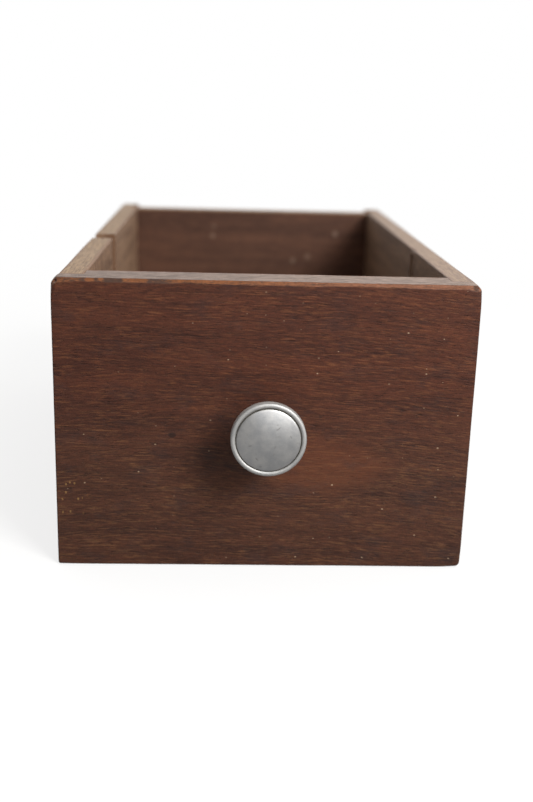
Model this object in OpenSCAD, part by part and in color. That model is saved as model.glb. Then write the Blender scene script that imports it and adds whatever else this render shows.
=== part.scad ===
// Small open-topped wooden drawer from a type cabinet, with one round metal knob.
// Millimetres. +Z is up, -Y is the knob side, -X is the left. The origin is the middle of
// the underside, with the knob counted in the overall length.

/* [Front board] */
// Width of the front board
front_w = 152; // [120:1:220]
// Height of the front board and of the sides
front_h = 108.4; // [80:0.1:150]
// Thickness of the front board
front_t = 17.4; // [15:0.1:22]
// Thickness of the lap that hides the front ends of the sides
lap_t = 8.5; // [6:0.1:10]
// Chamfer along the top front arris
arris = 1.5; // [0.4:0.1:3]
// Small chamfer on the other three front arrises
ease = 0.6; // [0.2:0.1:1.5]

/* [Sides] */
// Distance from the front face to the rear ends of the sides
depth = 260; // [190:1:340]
// Thickness of the left side
left_t = 9.3; // [7:0.1:11]
// Thickness of the right side
right_t = 8.6; // [7:0.1:11]
// How far the front board stands out past the left side
left_lip = 1.6; // [0.5:0.1:3]
// How far the front board stands out past the right side
right_lip = 1; // [0.5:0.1:3]
// Width, along the drawer, of the upright slots in the inner faces of the sides
slot_w = 14; // [6:0.5:20]
// Depth of those slots
slot_d = 1.6; // [1:0.1:4]
// Distance from the front face to the slot in the left side
left_slot = 105.5; // [60:0.5:140]
// Distance from the front face to the slot in the right side
right_slot = 81; // [60:0.5:140]
// Wood left standing above the right slot
right_stop = 2.5; // [1:0.1:10]
// Depth of the notch across the top edge over the left slot
notch_d = 2.2; // [0.5:0.1:5]

/* [Back and bottom] */
// Thickness of the back board
back_t = 8; // [6:0.1:11]
// Distance from the back board to the rear ends of the sides
back_inset = 9.7; // [2:0.1:16]
// How far the back board's top edge lies below the sides
back_drop = 0.7; // [0:0.1:4]
// Depth of the housings that hold the back board
housing = 3; // [1.5:0.1:4]
// Thickness of the bottom panel
panel_t = 4; // [3:0.1:5]
// Height of the bottom panel's underside above the bottom edges
panel_z = 6; // [4:0.5:9]
// Depth of the groove in the sides; the front board's is a little deeper
groove = 3.6; // [2.5:0.1:4]

/* [Knob] */
// Widest diameter of the knob
knob_d = 26.4; // [20:0.1:34]
// Distance from the front face to the middle of the knob's face
knob_out = 21.5; // [18:0.1:28]
// Height of the knob's centre above the bottom edges
knob_z = 56.5; // [40:0.5:80]
// Sideways offset of the knob from the middle of the front board
knob_x = 0.7; // [-5:0.1:5]
// Height of the dome on the knob's face
dome = 1.5; // [0.4:0.1:2]
// Narrowest diameter of the knob's stem
stem_d = 9.4; // [8:0.1:12]
// Diameter of the knob screw
screw_d = 4.1; // [3:0.1:5]
// Length of the knob screw under its head
screw_l = 25.4; // [24:0.2:26]

/* [Brads and nails] */
// Diameter of the brad and nail shanks
brad_d = 1.4; // [1:0.1:1.8]
// Length of the brads through the corner joints
brad_l = 24; // [16:1:28]
// Length of the nails under the back board
nail_l = 18; // [12:1:25]
// How many brads hold each corner joint
brads = 3; // [2:1:4]

/* [Hidden] */

// n values spread evenly from one to another
function spread(n, from, to) = [for (i = [0:n - 1]) from + (to - from) * i / (n - 1)];

// points along an arc in a plane, from one angle to another
function arc(centre, radius, from, to, steps) =
  [for (i = [0:steps]) let (angle = from + (to - from) * i / steps)
    centre + radius * [cos(angle), sin(angle)]];

over = 0.5;   // overshoot of every cut past the wood
slip = 0.03;  // radial room round a shank

// pairs are indexed by side
left = 0;
right = 1;
front_x = [-front_w / 2, front_w / 2];
outer = [front_x[left] + left_lip, front_x[right] - right_lip];  // outer faces of the sides
inner = [outer[left] + left_t, outer[right] - right_t];          // inner faces of the sides
side_x = [[outer[left], inner[left]], [inner[right], outer[right]]];
slot_y = [left_slot, right_slot];
slot_top = [front_h + over, front_h - right_stop];

// bottom panel and its grooves
panel_slack = 0.1;                              // room beyond each side edge
panel_x = [inner[left] - groove + panel_slack, inner[right] + groove - panel_slack];
panel_front = front_t - groove - 0.5;
front_groove = groove + 1;
panel_top = panel_z + panel_t;
groove_top = panel_top + 0.2;

// back board
back_y = depth - back_inset - back_t;           // its inner face
back_end = back_y + back_t;
back_mid = back_y + back_t / 2;

// brads and nails
corner_y = (lap_t + front_t) / 2;               // middle of the sides' lapped front ends
corner_z = spread(brads, 22, front_h - 20);
nail_inset = 30;                                // outer nails, from the ends of the front board
nail_x = spread(3, front_x[left] + nail_inset, front_x[right] - nail_inset);
brad_r = brad_d / 2;
brad_head_r = brad_d * 0.85;
brad_head_t = 0.6;
brad_neck = brad_head_t + 0.3;                  // where the cone under the head meets the shank

washer_t = 0.8;
washer_d = 10;

side_color = [0.45, 0.35, 0.28];
brad_color = [0.30, 0.28, 0.26];

// a box between two corners
module span(from, to) {
  translate(from) cube(to - from);
}

// everything is drawn with the front face at y = 0, then shifted to centre the overall box
module place() {
  translate([0, (knob_out - depth) / 2, 0]) children();
}

// a brad or nail along +X, with its head's outer face at x = 0
module brad(length) {
  rotate([0, 90, 0]) rotate_extrude($fn = 24)
    polygon([[0, 0], [brad_head_r, 0], [brad_head_r, brad_head_t], [brad_r, brad_neck],
             [brad_r, length - 2 * brad_d], [brad_d * 0.14, length], [0, length]]);
}

// the room a brad or nail needs in the wood
module brad_room(length) {
  end = length + 0.4;
  rotate([0, 90, 0]) rotate_extrude($fn = 24)
    polygon([[0, -over], [brad_head_r + slip, -over], [brad_head_r + slip, brad_head_t],
             [brad_r + slip, brad_neck], [brad_r + slip, end], [0, end]]);
}

// puts its child at each corner brad, on the outer faces of the given sides, pointing inwards
module at_brads(sides, y) {
  for (side = sides, z = corner_z)
    translate([outer[side], y, z]) mirror([side, 0, 0]) children();
}

// puts its child at each bottom nail, on the underside of the panel, pointing up
module at_nails() {
  for (x = nail_x) translate([x, back_mid, panel_z]) rotate([0, -90, 0]) children();
}

module front_board() {
  color([0.34, 0.20, 0.16]) place() difference() {
    // section through the board, chamfered at the top and bottom front arrises
    translate([front_x[left], 0, 0]) rotate([90, 0, 90]) linear_extrude(front_w)
      polygon([[ease, 0], [front_t, 0], [front_t, front_h], [arris, front_h],
               [0, front_h - arris], [0, ease]]);
    // upright front arrises
    for (x = front_x) translate([x, 0, -over]) linear_extrude(front_h + 2 * over)
      polygon([[-ease, 0], [0, -ease], [ease, 0], [0, ease]]);
    // rebates for the front ends of the sides
    span([front_x[left] - over, lap_t, -over], [inner[left], front_t + over, front_h + over]);
    span([inner[right], lap_t, -over], [front_x[right] + over, front_t + over, front_h + over]);
    // groove for the bottom panel
    span([front_x[left], front_t - front_groove, panel_z],
         [front_x[right], front_t + over, groove_top]);
    // hole for the knob screw
    translate([knob_x, -over, knob_z]) rotate([-90, 0, 0])
      cylinder(d = screw_d + 0.5, h = front_t + 2 * over, $fn = 48);
    at_brads([left, right], corner_y) brad_room(brad_l);
  }
}

// a cut of some depth into a side's inner face; from and to are [y, z]
module inner_cut(side, deep, from, to) {
  x = side == left ? [inner[left] - deep, inner[left] + over]
                   : [inner[right] - over, inner[right] + deep];
  span([x[0], from[0], from[1]], [x[1], to[0], to[1]]);
}

module side_board(side) {
  color(side_color) place() difference() {
    span([side_x[side][0], lap_t, 0], [side_x[side][1], depth, front_h]);
    // groove for the bottom panel, run out at both ends
    inner_cut(side, groove, [lap_t - over, panel_z], [depth + over, groove_top]);
    // housing for the back board
    inner_cut(side, housing, [back_y, panel_z + over], [back_end, front_h + over]);
    // upright slot that stands empty, open at the top edge on the left only
    inner_cut(side, slot_d, [slot_y[side], panel_z + over],
              [slot_y[side] + slot_w, slot_top[side]]);
    // notch across the left top edge
    if (side == left)
      span([outer[left] - over, left_slot, front_h - notch_d],
           [inner[left] + over, left_slot + slot_w, front_h + over]);
    for (y = [corner_y, back_mid]) at_brads([side], y) brad_room(brad_l);
  }
}

module left_side() {
  side_board(left);
}

module right_side() {
  side_board(right);
}

module back_board() {
  color([0.33, 0.23, 0.19]) place() difference() {
    span([inner[left] - housing, back_y, panel_top],
         [inner[right] + housing, back_end, front_h - back_drop]);
    at_brads([left, right], back_mid) brad_room(brad_l);
    at_nails() brad_room(nail_l);
  }
}

module bottom_panel() {
  color([0.36, 0.25, 0.20]) place() difference() {
    span([panel_x[left], panel_front, panel_z], [panel_x[right], back_end, panel_top]);
    at_nails() brad_room(nail_l);
  }
}

// one turned knob: foot, waisted stem, thick edge, raised rim, groove and domed face
module knob() {
  knob_r = knob_d / 2;
  stem_r = stem_d / 2;
  foot_t = 0.9;                              // thickness of the foot's edge
  foot_sweep = 3.4;                          // radius from the foot into the stem
  foot_r = stem_r + foot_sweep;
  flare = 4.6;                               // radius from the stem out under the edge
  edge_round = 1.8;
  rim = 0.95;                                // half the rim's width
  rise = 0.55;                               // height of the rim over the edge
  rim_inner = knob_r - 2 * rim;
  crest = knob_out - dome - 0.05;            // height of the rim above the front board
  edge_back = crest - rise - 2.2;            // where the edge starts to curve in
  face_r = rim_inner - 0.24;
  face_ease = 0.25;
  ball = (face_r * face_r + dome * dome) / (2 * dome);  // radius of the domed face
  turn = asin(face_r / ball);
  hole_l = 9.5;
  color([0.66, 0.65, 0.64]) place()
    translate([knob_x, 0, knob_z]) rotate([90, 0, 0]) difference() {
      rotate_extrude($fn = 96) polygon(concat(
        [[0, 0], [foot_r, 0]],
        arc([foot_r, foot_t + foot_sweep], foot_sweep, -90, -180, 8),
        arc([stem_r + flare, edge_back - 5.2], flare, 180, 100, 8),
        arc([knob_r - edge_round, edge_back], edge_round, -50, 0, 5),
        // raised rim, a half circle flattened to its rise
        [for (p = arc([knob_r - rim, 0], rim, 0, 180, 12))
          [p[0], crest - rise + p[1] * rise / rim]],
        // floor of the groove inside the rim
        [[rim_inner - 0.04, crest - 0.85], [face_r + 0.02, crest - 0.88]],
        // eased edge of the face, then its dome
        arc([face_r - face_ease, crest - 0.17], face_ease, 0, 72, 4),
        arc([0, knob_out - ball], ball, 90 - turn + 0.5, 90, 14)));
      translate([0, 0, -over]) cylinder(d = screw_d + 2 * slip, h = hole_l + over, $fn = 48);
    }
}

// pan-head machine screw, slotted, driven from inside the drawer
module knob_screw() {
  screw_r = screw_d / 2;
  tip = 0.5;                                 // chamfer at the tip
  head_r = screw_d * 0.98;
  head_h = 2.5;
  head_round = 1.3;
  head_side = 1.1;                           // height of the head's straight side
  drive_w = 1.1;
  drive_z = 1.3;                             // floor of the drive slot
  color([0.62, 0.61, 0.58]) place()
    translate([knob_x, front_t + washer_t, knob_z]) rotate([-90, 0, 0]) difference() {
      rotate_extrude($fn = 64) polygon(concat(
        [[0, -screw_l], [screw_r - tip, -screw_l], [screw_r, -screw_l + tip],
         [screw_r, 0], [head_r, 0]],
        arc([head_r - head_round, head_side], head_round, 0, 90, 6),
        [[0, head_h]]));
      translate([-head_r - over, -drive_w / 2, drive_z])
        cube([2 * (head_r + over), drive_w, 3]);
    }
}

module knob_screw_washer() {
  color([0.55, 0.54, 0.52]) place()
    translate([knob_x, front_t, knob_z]) rotate([-90, 0, 0]) difference() {
      cylinder(d = washer_d, h = washer_t, $fn = 64);
      translate([0, 0, -over]) cylinder(d = screw_d + 0.4, h = washer_t + 2 * over, $fn = 48);
    }
}

module front_corner_brads() {
  color(brad_color) place() at_brads([left, right], corner_y) brad(brad_l);
}

module back_corner_brads() {
  color(brad_color) place() at_brads([left, right], back_mid) brad(brad_l);
}

module bottom_nails() {
  color(brad_color) place() at_nails() brad(nail_l);
}

front_board();
left_side();
right_side();
back_board();
bottom_panel();
knob();
knob_screw();
knob_screw_washer();
front_corner_brads();
back_corner_brads();
bottom_nails();
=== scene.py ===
import math

import bpy
import numpy as np
from mathutils import Matrix, Vector


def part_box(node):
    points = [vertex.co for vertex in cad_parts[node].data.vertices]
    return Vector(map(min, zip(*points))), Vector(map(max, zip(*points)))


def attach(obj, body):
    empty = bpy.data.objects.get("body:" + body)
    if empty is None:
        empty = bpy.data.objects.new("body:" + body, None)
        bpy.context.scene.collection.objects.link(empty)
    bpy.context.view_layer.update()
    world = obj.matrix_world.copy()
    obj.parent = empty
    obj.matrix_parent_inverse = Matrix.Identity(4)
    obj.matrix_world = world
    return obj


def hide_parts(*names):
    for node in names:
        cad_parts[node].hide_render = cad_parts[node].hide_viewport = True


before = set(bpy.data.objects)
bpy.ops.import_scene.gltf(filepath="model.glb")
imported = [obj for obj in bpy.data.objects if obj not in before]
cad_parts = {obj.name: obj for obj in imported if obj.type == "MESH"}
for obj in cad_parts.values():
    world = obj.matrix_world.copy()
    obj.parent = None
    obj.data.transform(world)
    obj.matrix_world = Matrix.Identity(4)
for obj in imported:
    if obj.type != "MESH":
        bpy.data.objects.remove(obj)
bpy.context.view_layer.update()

MM = 0.001
BODY = "root"

# ------------------------------------------------------------------ noise on points, in mm


def _hash(ix, iy, iz, seed):
    h = (ix * 374761393 + iy * 668265263 + iz * 2147483647 + seed * 1274126177) & 0xFFFFFFFF
    h = ((h ^ (h >> 13)) * 1103515245) & 0xFFFFFFFF
    h = ((h ^ (h >> 16)) * 2246822519) & 0xFFFFFFFF
    return ((h ^ (h >> 15)) & 0xFFFFFF) / float(0xFFFFFF)


def noise(p, size, seed=0):
    """Smooth value noise, 0 to 1, with cells of the given size (one number or three)."""
    q = np.asarray(p, float) / np.asarray(size, float)
    i = np.floor(q).astype(np.int64)
    f = q - i
    f = f * f * f * (f * (f * 6 - 15) + 10)
    out = 0
    for dx in (0, 1):
        for dy in (0, 1):
            for dz in (0, 1):
                w = (f[:, 0] if dx else 1 - f[:, 0]) * (f[:, 1] if dy else 1 - f[:, 1]) * (f[:, 2] if dz else 1 - f[:, 2])
                out = out + w * _hash(i[:, 0] + dx, i[:, 1] + dy, i[:, 2] + dz, seed)
    return out


def fbm(p, size, seed=0, octaves=3):
    size = np.asarray(size, float)
    out, amp, tot = 0, 1.0, 0
    for k in range(octaves):
        out = out + amp * noise(p, size / 2 ** k, seed + 17 * k)
        tot += amp
        amp *= 0.5
    return out / tot


def step01(x, a, b):
    t = np.clip((x - a) / (b - a), 0, 1)
    return t * t * (3 - 2 * t)


# ------------------------------------------------------------------ boards

NEAR = [0, .1, .2, .32, .46, .62, .8, 1.0, 1.25, 1.55, 1.9, 2.4, 3.1]


def lines(a, b, step):
    """Grid lines from a to b: close together near both ends and about step apart between."""
    half = (b - a) * 0.45
    left = [a + t for t in NEAR if t < half]
    right = [b - t for t in NEAR if t < half]
    n = max(1, int(math.ceil((right[-1] - left[-1]) / step)))
    mid = [left[-1] + (right[-1] - left[-1]) * k / n for k in range(1, n)]
    return np.array(sorted(left + mid + right))


def grid_box(lo, hi, step):
    """Vertices, quads, and a welded surface grid of a box."""
    ax = [lines(lo[k], hi[k], step[k]) for k in range(3)]
    n = [len(a) for a in ax]
    idx = -np.ones(n, np.int64)
    surf = np.zeros(n, bool)
    surf[0], surf[-1], surf[:, 0], surf[:, -1], surf[:, :, 0], surf[:, :, -1] = (True,) * 6
    where = np.argwhere(surf)
    idx[surf] = np.arange(len(where))
    verts = np.stack([ax[k][where[:, k]] for k in range(3)], 1)
    quads = []

    def sheet(a, flip):
        q = np.stack([a[:-1, :-1], a[1:, :-1], a[1:, 1:], a[:-1, 1:]], -1).reshape(-1, 4)
        quads.append(q[:, ::-1] if flip else q)

    sheet(idx[0], True), sheet(idx[-1], False)
    sheet(idx[:, 0], False), sheet(idx[:, -1], True)
    sheet(idx[:, :, 0], True), sheet(idx[:, :, -1], False)
    return verts, np.concatenate(quads)


def shape_board(lo, hi, step, radius, flat=None, seed=0, wave=0.06, fibre=0.02, along=0):
    """A board with worn arrises. radius(p) gives each vertex's arris radius and flat(p) how much of a flat chamfer it is. The faces are hollowed by up to wave and by fibre along the grain, always inwards."""
    p, quads = grid_box(lo, hi, step)
    lo, hi = np.array(lo, float), np.array(hi, float)
    r = np.minimum(radius(p), (hi - lo).min() * 0.45)[:, None]
    q = np.clip(p, lo + r, hi - r)
    d = p - q
    k = (2.0 - 0.9 * np.clip(flat(p), 0, 1) if flat else np.full(len(p), 2.0))[:, None]
    norm = ((np.abs(d) ** k).sum(1, keepdims=True)) ** (1 / k)
    n = d / np.maximum(norm, 1e-9)
    out = q + r * n
    unit = d / np.maximum(np.linalg.norm(d, axis=1, keepdims=True), 1e-9)
    size = [26.0, 26.0, 26.0]
    size[along] = 60.0
    fine = [1.4, 1.4, 1.4]
    fine[along] = 16.0
    depth = wave * fbm(p, size, seed, 3) + fibre * fbm(p, fine, seed + 5, 2)
    out = out - unit * depth[:, None]
    return np.clip(out, lo, hi), quads


def mesh_object(name, verts_mm, faces):
    me = bpy.data.meshes.new(name)
    v = np.asarray(verts_mm, float) * MM
    me.from_pydata(v.tolist(), [], [list(map(int, f)) for f in faces])
    me.update()
    ob = bpy.data.objects.new(name, me)
    bpy.context.scene.collection.objects.link(ob)
    return ob


def box_object(name, a, b):
    """A plain cutter, taken away again once its cut is made."""
    x0, y0, z0 = a
    x1, y1, z1 = b
    v = [(x0, y0, z0), (x1, y0, z0), (x1, y1, z0), (x0, y1, z0), (x0, y0, z1), (x1, y0, z1), (x1, y1, z1), (x0, y1, z1)]
    f = [(0, 3, 2, 1), (4, 5, 6, 7), (0, 1, 5, 4), (1, 2, 6, 5), (2, 3, 7, 6), (3, 0, 4, 7)]
    return mesh_object(name, v, f)


def tube_object(name, centre, axis, radius, a, b, n=32):
    """A plain round cutter along an axis (0, 1 or 2) from a to b."""
    o = [k for k in range(3) if k != axis]
    v = []
    for t in (a, b):
        for i in range(n):
            w = [0, 0, 0]
            w[axis] = t
            w[o[0]] = centre[o[0]] + radius * math.cos(2 * math.pi * i / n)
            w[o[1]] = centre[o[1]] + radius * math.sin(2 * math.pi * i / n)
            v.append(w)
    f = [(i, (i + 1) % n, n + (i + 1) % n, n + i) for i in range(n)]
    f += [tuple(range(n))[::-1], tuple(range(n, 2 * n))]
    ob = mesh_object(name, v, f)
    import bmesh
    bm = bmesh.new()
    bm.from_mesh(ob.data)
    bmesh.ops.recalc_face_normals(bm, faces=bm.faces)
    bm.to_mesh(ob.data)
    bm.free()
    return ob


def combine(ob, tools, how="DIFFERENCE"):
    """Applies boolean cuts or joins, with the tools removed afterwards."""
    for t in tools:
        m = ob.modifiers.new("cut", "BOOLEAN")
        m.operation = how
        m.object = t
        m.solver = "MANIFOLD"
        dg = bpy.context.evaluated_depsgraph_get()
        me = bpy.data.meshes.new_from_object(ob.evaluated_get(dg), depsgraph=dg)
        if len(me.polygons) == 0:
            m.solver = "EXACT"
            dg = bpy.context.evaluated_depsgraph_get()
            me = bpy.data.meshes.new_from_object(ob.evaluated_get(dg), depsgraph=dg)
        ob.modifiers.remove(m)
        ob.data = me
    for t in tools:
        bpy.data.objects.remove(t)


def soften(ob, degrees=34):
    """Smooth shading with real edges kept sharp."""
    me = ob.data
    me.polygons.foreach_set("use_smooth", np.ones(len(me.polygons), bool))
    import bmesh
    bm = bmesh.new()
    bm.from_mesh(me)
    lim = math.radians(degrees)
    for e in bm.edges:
        e.smooth = len(e.link_faces) == 2 and e.calc_face_angle(0) < lim
    bm.to_mesh(me)
    bm.free()


def points_of(ob):
    co = np.empty(len(ob.data.vertices) * 3, np.float32)
    ob.data.vertices.foreach_get("co", co)
    return co.reshape(-1, 3).astype(float) / MM


def attribute(ob, name, values):
    a = ob.data.attributes.new(name, "FLOAT", "POINT")
    a.data.foreach_set("value", np.asarray(values, np.float32))


def edge_wear(p, lo, hi, reach=0.9):
    """1 on a board's arrises, fading to 0 on its faces."""
    lo, hi = np.array(lo, float), np.array(hi, float)
    d = np.sort(np.minimum(np.abs(p - lo), np.abs(hi - p)), 1)
    return np.exp(-((d[:, 0] + d[:, 1]) / reach) ** 1.5)


def place(ob, node, material):
    ob.data.materials.clear()
    ob.data.materials.append(material)
    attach(ob, BODY)
    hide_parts(node)


# ------------------------------------------------------------------ node helpers


class Nodes:
    """Short calls that add a shader node and return its output socket."""

    def __init__(self, name):
        self.mat = bpy.data.materials.new(name)
        self.mat.use_nodes = True
        self.t = self.mat.node_tree
        self.t.nodes.clear()
        self.coords = None

    def node(self, kind, **props):
        n = self.t.nodes.new(kind)
        for k, v in props.items():
            setattr(n, k, v)
        return n

    def put(self, socket, value):
        if isinstance(value, bpy.types.NodeSocket):
            self.t.links.new(value, socket)
        elif value is not None:
            socket.default_value = value

    def math(self, op, a, b=None, c=None, clamp=False):
        n = self.node("ShaderNodeMath", operation=op, use_clamp=clamp)
        for s, v in zip(n.inputs, (a, b, c)):
            self.put(s, v)
        return n.outputs[0]

    def add(self, a, b):
        return self.math("ADD", a, b)

    def sub(self, a, b):
        return self.math("SUBTRACT", a, b)

    def mul(self, a, b):
        return self.math("MULTIPLY", a, b)

    def mad(self, a, b, c):
        return self.math("MULTIPLY_ADD", a, b, c)

    def xyz(self, v):
        n = self.node("ShaderNodeSeparateXYZ")
        self.put(n.inputs[0], v)
        return n.outputs[0], n.outputs[1], n.outputs[2]

    def vec(self, x, y, z):
        n = self.node("ShaderNodeCombineXYZ")
        for s, v in zip(n.inputs, (x, y, z)):
            self.put(s, v)
        return n.outputs[0]

    def mm(self):
        """The point in millimetres in the row's frame."""
        if self.coords is None:
            c = self.node("ShaderNodeTexCoord")
            n = self.node("ShaderNodeVectorMath", operation="SCALE")
            self.put(n.inputs[0], c.outputs["Object"])
            n.inputs["Scale"].default_value = 1000.0
            self.coords = n.outputs[0]
        return self.coords

    def noise(self, v, scale=1.0, detail=2.0, rough=0.5, distort=0.0):
        n = self.node("ShaderNodeTexNoise", noise_dimensions="3D")
        self.put(n.inputs["Vector"], v)
        n.inputs["Scale"].default_value = scale
        n.inputs["Detail"].default_value = detail
        n.inputs["Roughness"].default_value = rough
        n.inputs["Distortion"].default_value = distort
        return n.outputs["Fac"]

    def between(self, v, a, b, to0=0.0, to1=1.0, smooth=True):
        n = self.node("ShaderNodeMapRange", interpolation_type="SMOOTHSTEP" if smooth else "LINEAR")
        self.put(n.inputs["Value"], v)
        n.inputs["From Min"].default_value = a
        n.inputs["From Max"].default_value = b
        n.inputs["To Min"].default_value = to0
        n.inputs["To Max"].default_value = to1
        return n.outputs["Result"]

    def mix(self, fac, a, b, blend="MIX"):
        n = self.node("ShaderNodeMix", data_type="RGBA", blend_type=blend, clamp_factor=True)
        self.put(n.inputs[0], fac)
        self.put(n.inputs[6], rgba(a))
        self.put(n.inputs[7], rgba(b))
        return n.outputs[2]

    def scale_colour(self, c, f):
        """Colour times a number socket."""
        n = self.node("ShaderNodeVectorMath", operation="SCALE")
        self.put(n.inputs[0], c)
        self.put(n.inputs["Scale"], f)
        return n.outputs[0]

    def attr(self, name):
        n = self.node("ShaderNodeAttribute", attribute_type="GEOMETRY", attribute_name=name)
        return n.outputs["Fac"]

    def bump(self, height, distance, strength=1.0, normal=None):
        n = self.node("ShaderNodeBump")
        self.put(n.inputs["Height"], height)
        n.inputs["Distance"].default_value = distance
        n.inputs["Strength"].default_value = strength
        if normal is not None:
            self.put(n.inputs["Normal"], normal)
        return n.outputs[0]

    def finish(self, colour, rough, metallic=0.0, normal=None, coat=0.0, coat_rough=0.2, level=0.5, aniso=None):
        b = self.node("ShaderNodeBsdfPrincipled")
        self.put(b.inputs["Base Color"], rgba(colour))
        self.put(b.inputs["Roughness"], rough)
        self.put(b.inputs["Metallic"], metallic)
        self.put(b.inputs["Specular IOR Level"], level)
        self.put(b.inputs["Coat Weight"], coat)
        self.put(b.inputs["Coat Roughness"], coat_rough)
        if normal is not None:
            self.put(b.inputs["Normal"], normal)
        o = self.node("ShaderNodeOutputMaterial")
        self.t.links.new(b.outputs[0], o.inputs["Surface"])
        return self.mat


def rgba(c):
    if isinstance(c, bpy.types.NodeSocket) or c is None:
        return c
    return (c[0], c[1], c[2], 1.0)


def srgb(r, g, b):
    """Linear colour from ordinary 0 to 255 numbers."""
    return tuple((v / 255 / 12.92) if v / 255 <= 0.04045 else ((v / 255 + 0.055) / 1.055) ** 2.4 for v in (r, g, b))


# ------------------------------------------------------------------ sizes, in mm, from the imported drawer


def mm_box(node):
    a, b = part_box(node)
    return np.array(a) / MM, np.array(b) / MM


FRONT, LEFT, RIGHT, BACK, PANEL, KNOB = (mm_box(n) for n in ("front_board", "left_side", "right_side", "back_board", "bottom_panel", "knob"))
front_y = FRONT[0][1]
lap = LEFT[0][1] - front_y
inner_l, inner_r = LEFT[1][0], RIGHT[0][0]
knob_x = (KNOB[0][0] + KNOB[1][0]) / 2
knob_z = (KNOB[0][2] + KNOB[1][2]) / 2
knob_r = (KNOB[1][0] - KNOB[0][0]) / 2
knob_out = front_y - KNOB[0][1]
SLOTS = {"left": front_y + 105.5, "right": front_y + 81.0}
SLOT_W, SLOT_D, NOTCH_D, RIGHT_STOP = 14.0, 1.6, 2.2, 2.5
GROOVE = (6.0, 10.2)
HOUSING = 3.0
CORNER_Z = (22.0, 55.2, 88.4)
TOP = FRONT[1][2]


def lathe_object(name, profile, centre, axis, n=96):
    """Turns (radius, distance) points round an axis through centre. axis is a unit direction; distance runs along it."""
    axis = np.array(axis, float)
    side = np.array((0, 0, 1.0)) if abs(axis[2]) < 0.9 else np.array((1.0, 0, 0))
    side2 = np.cross(axis, side)
    v, rows = [], []
    for r, t in profile:
        base = np.array(centre, float) + axis * t
        if r < 1e-6:
            rows.append([len(v)])
            v.append(base)
            continue
        row = []
        for i in range(n):
            w = 2 * math.pi * i / n
            row.append(len(v))
            v.append(base + r * (side * math.cos(w) + side2 * math.sin(w)))
        rows.append(row)
    f = []
    for a, b in zip(rows[:-1], rows[1:]):
        for i in range(n):
            j = (i + 1) % n
            if len(a) == 1 and len(b) == 1:
                continue
            if len(a) == 1:
                f.append((a[0], b[j], b[i]))
            elif len(b) == 1:
                f.append((a[i], a[j], b[0]))
            else:
                f.append((a[i], a[j], b[j], b[i]))
    ob = mesh_object(name, v, f)
    import bmesh
    bm = bmesh.new()
    bm.from_mesh(ob.data)
    bmesh.ops.recalc_face_normals(bm, faces=bm.faces)
    bm.to_mesh(ob.data)
    bm.free()
    return ob


def brad_cutter(x, y, z, inward):
    return lathe_object("room", [(0, -1), (1.24, -1), (1.24, 0.62), (0.74, 0.92), (0.74, 24.5), (0, 24.5)], (x, y, z), (inward, 0, 0), 20)


def nail_cutter(x):
    y = (BACK[0][1] + BACK[1][1]) / 2
    return lathe_object("room", [(0, -1), (1.24, -1), (1.24, 0.62), (0.74, 0.92), (0.74, 18.5), (0, 18.5)], (x, y, PANEL[0][2]), (0, 0, 1), 20)


FRONT_BRAD_Y = (LEFT[0][1] + FRONT[1][1]) / 2
BACK_BRAD_Y = (BACK[0][1] + BACK[1][1]) / 2
NAIL_X = (-46.0, 0.0, 46.0)

# ------------------------------------------------------------------ front board


def near(p, x, z, reach):
    return np.exp(-(((p[:, 0] - x) ** 2 + (p[:, 2] - z) ** 2) / reach ** 2))


def front_radius(p):
    lo, hi = FRONT
    r = 0.5 + 0.3 * fbm(p, 14, 3, 2)
    r = r + (2.9 - r) * near(p, lo[0], hi[2], 5.0)
    r = r + (2.3 - r) * near(p, hi[0], hi[2], 5.0)
    r = r + (1.7 - r) * near(p, hi[0], lo[2], 5.0)
    r = r + (0.9 - r) * near(p, lo[0], lo[2], 5.0)
    top = np.exp(-((hi[2] - p[:, 2]) / 3.0) ** 2) * np.exp(-((p[:, 1] - lo[1]) / 3.0) ** 2)
    along = 1.5 + 0.9 * (fbm(p * [1, 0, 0], 11, 8, 3) - 0.5) + 0.5 * (noise(p * [1, 0, 0], 2.3, 12) - 0.5)
    # the short chip near the right end
    along = along + 0.9 * np.exp(-((p[:, 0] - 73.2) / 1.2) ** 2)
    return r + (np.maximum(along, r) - r) * top


def front_flat(p):
    lo, hi = FRONT
    return np.exp(-((hi[2] - p[:, 2]) / 3.0) ** 2) * np.exp(-((p[:, 1] - lo[1]) / 3.0) ** 2)


v, q = shape_board(*FRONT, (1.6, 2.0, 1.3), front_radius, front_flat, seed=21, wave=0.10, fibre=0.03, along=0)
front = mesh_object("front_board_wood", v, q)
cuts = [
    box_object("c", (FRONT[0][0] - 1, LEFT[0][1], -1), (inner_l, FRONT[1][1] + 1, TOP + 1)),
    box_object("c", (inner_r, LEFT[0][1], -1), (FRONT[1][0] + 1, FRONT[1][1] + 1, TOP + 1)),
    box_object("c", (FRONT[0][0] - 1, FRONT[1][1] - 4.6, GROOVE[0]), (FRONT[1][0] + 1, FRONT[1][1] + 1, GROOVE[1])),
    tube_object("c", (knob_x, 0, knob_z), 1, 2.3, front_y - 1, FRONT[1][1] + 1, 48),
]
for z in CORNER_Z:
    cuts.append(brad_cutter(LEFT[0][0], FRONT_BRAD_Y, z, 1))
    cuts.append(brad_cutter(RIGHT[1][0], FRONT_BRAD_Y, z, -1))
combine(front, cuts)
p = points_of(front)
wear = edge_wear(p, *FRONT, reach=1.5)
inside = (p[:, 1] > front_y + 2.0) & (np.abs(p[:, 0]) < 75.0) & (p[:, 2] < TOP - 2)
share = 0.22 + 0.78 * step01(p[:, 2], TOP - 5, TOP - 1.5)
attribute(front, "wear", np.where(inside, wear * 0.3, wear) * share)
soften(front, 40)

# ------------------------------------------------------------------ sides


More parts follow.
